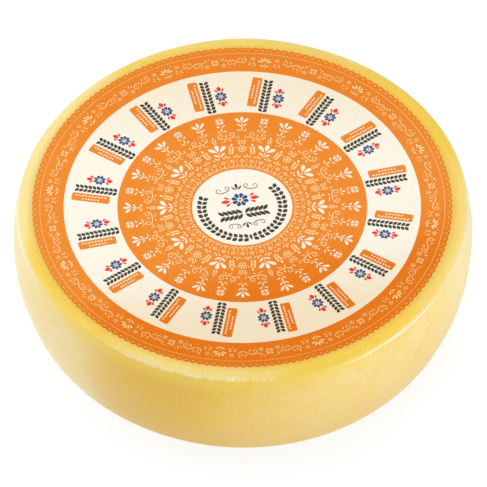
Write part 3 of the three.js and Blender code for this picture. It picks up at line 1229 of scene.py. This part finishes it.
def quatrefoil():
    """A flower of four broad petals, with two leaves under it."""
    shapes = fan(drop(0.4, 0, 0, 2.5, 1.6), 4, 45) + fan(drop(1.5, 0, 0, 1.5, 0.55), 4)
    return shapes + mirrored(leaf(0.5, -5.0, 30, 3.2, 0.95))


def scroll_half():
    """One scroll of a mirrored pair, with a drop on its back, leaves and a small flower under it."""
    shapes = turned(scroll(25, -6.4, 6.2, 0.52), x=8.4, y=3.1, turn=2) + drop(8.3, 4.0, 90, 2.6, 0.75)
    shapes += leaf(7.9, 2.0, -142, 2.6, 0.6) + leaf(9.1, 2.0, -34, 2.6, 0.6)
    shapes += turned(rosette(5, 1.4, 0.65, gap=0.3, core=0.34), x=15.9, y=0.6) + dot(0.34, 5.0, 0.6)
    return shapes + drop(15.6, 2.9, 90, 2.3, 0.7) + drop(14.6, 2.9, 128, 1.8, 0.55)


# %% Rows of the wreath
def wreath_rows():
    """Each row of the wreath: its name, its stencil, the radius it stands on, copies, first turn."""
    rim_gap = drop(0, 1.2, 90, 1.9, 0.6) + dot(0.28, 0.0, 0.3)
    star = rosette(6, 1.6, 0.7, gap=0.3, core=0.36)
    tall_spray = turned(spray(9.0, 4, 2.3), x=7.3, turn=-9) + dot(0.38, 10.9, 5.6)
    rim_half, tall_half, outer_half = (180 / count for count in (RIM_MOTIFS, TALL_MOTIFS, OUTER_MOTIFS))
    return [
        ("rim_crowns", bud(3.4, 0.85, 48, 2.2, 0.55), 33.7, RIM_MOTIFS, 0),
        ("rim_drops", rim_gap, 34.4, RIM_MOTIFS, rim_half),
        ("inner_stars", star, 39.7, RIM_MOTIFS, 0),
        ("inner_dots", dot(0.42) + dot(0.34, 0, -2.0), 40.6, RIM_MOTIFS, rim_half),
        ("inner_leaves", bud(3.1, 0.8, 38, 2.7, 0.8), 42.3, RIM_MOTIFS, rim_half),
        ("tall_tulips", tulip(10.6, 9.0), 45.0, TALL_MOTIFS, 0),
        ("tall_suns", sun(), 50.0, TALL_MOTIFS, tall_half),
        ("tall_sprays", mirrored(tall_spray), 45.8, TALL_MOTIFS, 0),
        ("scroll_pairs", mirrored(scroll_half()), 56.2, TALL_MOTIFS, 0),
        ("scroll_sprays", spray(6.0, 3, 1.8), 56.4, TALL_MOTIFS, 0),
        ("hair_line", dot(0.17, sides=6), 64.6, HAIR_DOTS, 180 / HAIR_DOTS),
        ("hair_buds", bud(3.6, 1.1, 26, 3.1, 0.9), 65.0, OUTER_MOTIFS * 2, 0),
        ("outer_tulips", tulip(8.8, 6.6), 68.9, OUTER_MOTIFS, 0),
        ("outer_quatrefoils", quatrefoil(), 74.6, OUTER_MOTIFS, outer_half),
    ]


for row_name, row_shapes, row_radius, row_copies, row_first in wreath_rows():
    row_ink = CREAM if "tulips" in row_name or "outer" in row_name else FINE_CREAM
    row_print = bent(row_shapes, row_radius)
    add_print("wreath_" + row_name, row_print, row_ink, row_copies, row_first, OVERPRINT_LEVEL)

# %% [markdown]
# ## The middle of the label
# The middle disc carries one composition, turned a little to the left. A dark branch of leaves
# grows up either side, round a blue flower between red leaves, a heavy plait and thin scrolls. It
# is drawn upright round the origin and turned as a whole when it is printed.

# %% Centre prints
CENTRE_TILT = 12.5
FLOWER_HEIGHT = 6.6


def centre_prints():
    """The name, stencil and ink of each print in the middle disc."""
    branch = turned(bent(plait(57, 5.2, 15, 0.78), 26.4), turn=-86)
    band = turned(plait(16.4, 7.4, 5, 0.84), x=0.9, y=-5.4)
    flower = fan(drop(1.4, 0, 0, 4.3, 2.8), 8, 22.5)
    side = leaf(6.6, 0, 0, 6.2, 3.2) + drop(6.4, 1.5, 34, 4.2, 1.6) + drop(6.4, -1.5, -34, 4.2, 1.6)
    over = turned(scroll(21, -5.6, 5.0, 0.6), x=8.6, y=14.6, turn=-14) + leaf(0.6, 15.2, 48, 4.4, 1.2)
    under = turned(scroll(18, 5.6, -5.2, 0.6), x=7.6, y=-13.2, turn=12)
    under += leaf(0.6, -13.0, -48, 4.2, 1.1)
    tips = drop(0, 15.4, 90, 5.2, 1.8) + drop(0, -13.0, -90, 5.0, 1.7) + drop(0, -28.6, 90, 4.6, 1.9)
    return [
        ("centre_branches", mirrored(branch + band), DARK),
        ("centre_scrolls", mirrored(over + under) + tips, DARK),
        ("centre_flower", turned(flower, y=FLOWER_HEIGHT), BLUE),
        ("centre_red_leaves", turned(dot(0.9) + mirrored(side), y=FLOWER_HEIGHT), RED),
    ]


for print_name, print_shapes, print_ink in centre_prints():
    add_print(print_name, print_shapes, print_ink, 1, CENTRE_TILT)

# %% [markdown]
# ## Floor and light
# The wheel stands on plain white, lit as in a small product studio with a bright white room. A long
# softbox close above the label lies across the picture, so the label is brightest along its middle.
# A large one on the left and a weak one on the right shape the round of the side, one behind lights
# the far shoulder, and two in front keep the near side bright. The floor glows by itself, which
# washes out the shadow almost wholly, as an overexposed white background does.

# %% Floor
FLOOR_GLOW = 0.79
FLOOR_HALF_WIDTH = 3.0


def floor_material():
    material, _, _, _ = new_material(
        "white_floor",
        Base_Color=(0.24, 0.27, 0.31, 1.0),
        Roughness=0.9,
        Specular_IOR_Level=0.1,
        Emission_Color=(1.0, 1.0, 1.0, 1.0),
        Emission_Strength=FLOOR_GLOW,
    )
    return material


def add_floor(half):
    mesh = bpy.data.meshes.new("studio_floor")
    corners = [(-half, -half, 0), (half, -half, 0), (half, half, 0), (-half, half, 0)]
    mesh.from_pydata(corners, [], [(0, 1, 2, 3)])
    mesh.materials.append(floor_material())
    floor = in_scene("studio_floor", mesh)


add_floor(FLOOR_HALF_WIDTH)

# %% Softboxes and room
ROOM_LIGHT = 0.365
WHEEL = (0, 0, 0.05)
LABEL = (0, 0.02, 0)

# Each softbox: its place, what it points at, its width and height in metres, and its watts
SOFTBOXES = {
    "softbox_above": ((0.0, 0.02, 0.62), LABEL, 1.1, 0.3, 1.85),
    "softbox_left": ((-1.1, 0.25, 0.5), WHEEL, 0.8, 0.6, 3.9),
    "softbox_right": ((1.08, -0.28, 0.62), WHEEL, 0.5, 0.4, 0.9),
    "softbox_behind": ((0.0, 1.2, 1.0), WHEEL, 1.2, 0.6, 3.2),
    "softbox_front_right": ((0.9, -0.9, 0.35), WHEEL, 0.6, 0.5, 4.4),
    "softbox_front_left": ((-0.65, -0.75, 1.0), WHEEL, 0.4, 0.4, 1.05),
}


def add_softbox(name, place, aim, width, height, watts):
    data = bpy.data.lights.new(name, "AREA")
    data.shape = "RECTANGLE"
    data.size = width
    data.size_y = height
    data.energy = watts
    light = in_scene(name, data)
    light.location = place
    light.rotation_euler = (Vector(aim) - Vector(place)).to_track_quat("-Z", "Y").to_euler()


def light_the_room():
    world = bpy.data.worlds.new("studio_room")
    world.use_nodes = True
    background = world.node_tree.nodes["Background"]
    background.inputs["Color"].default_value = (1.0, 1.0, 1.0, 1.0)
    background.inputs["Strength"].default_value = ROOM_LIGHT
    bpy.context.scene.world = world


light_the_room()
for box_name, box in SOFTBOXES.items():
    add_softbox(box_name, *box)
print("the wheel is lit by", len(SOFTBOXES), "softboxes")
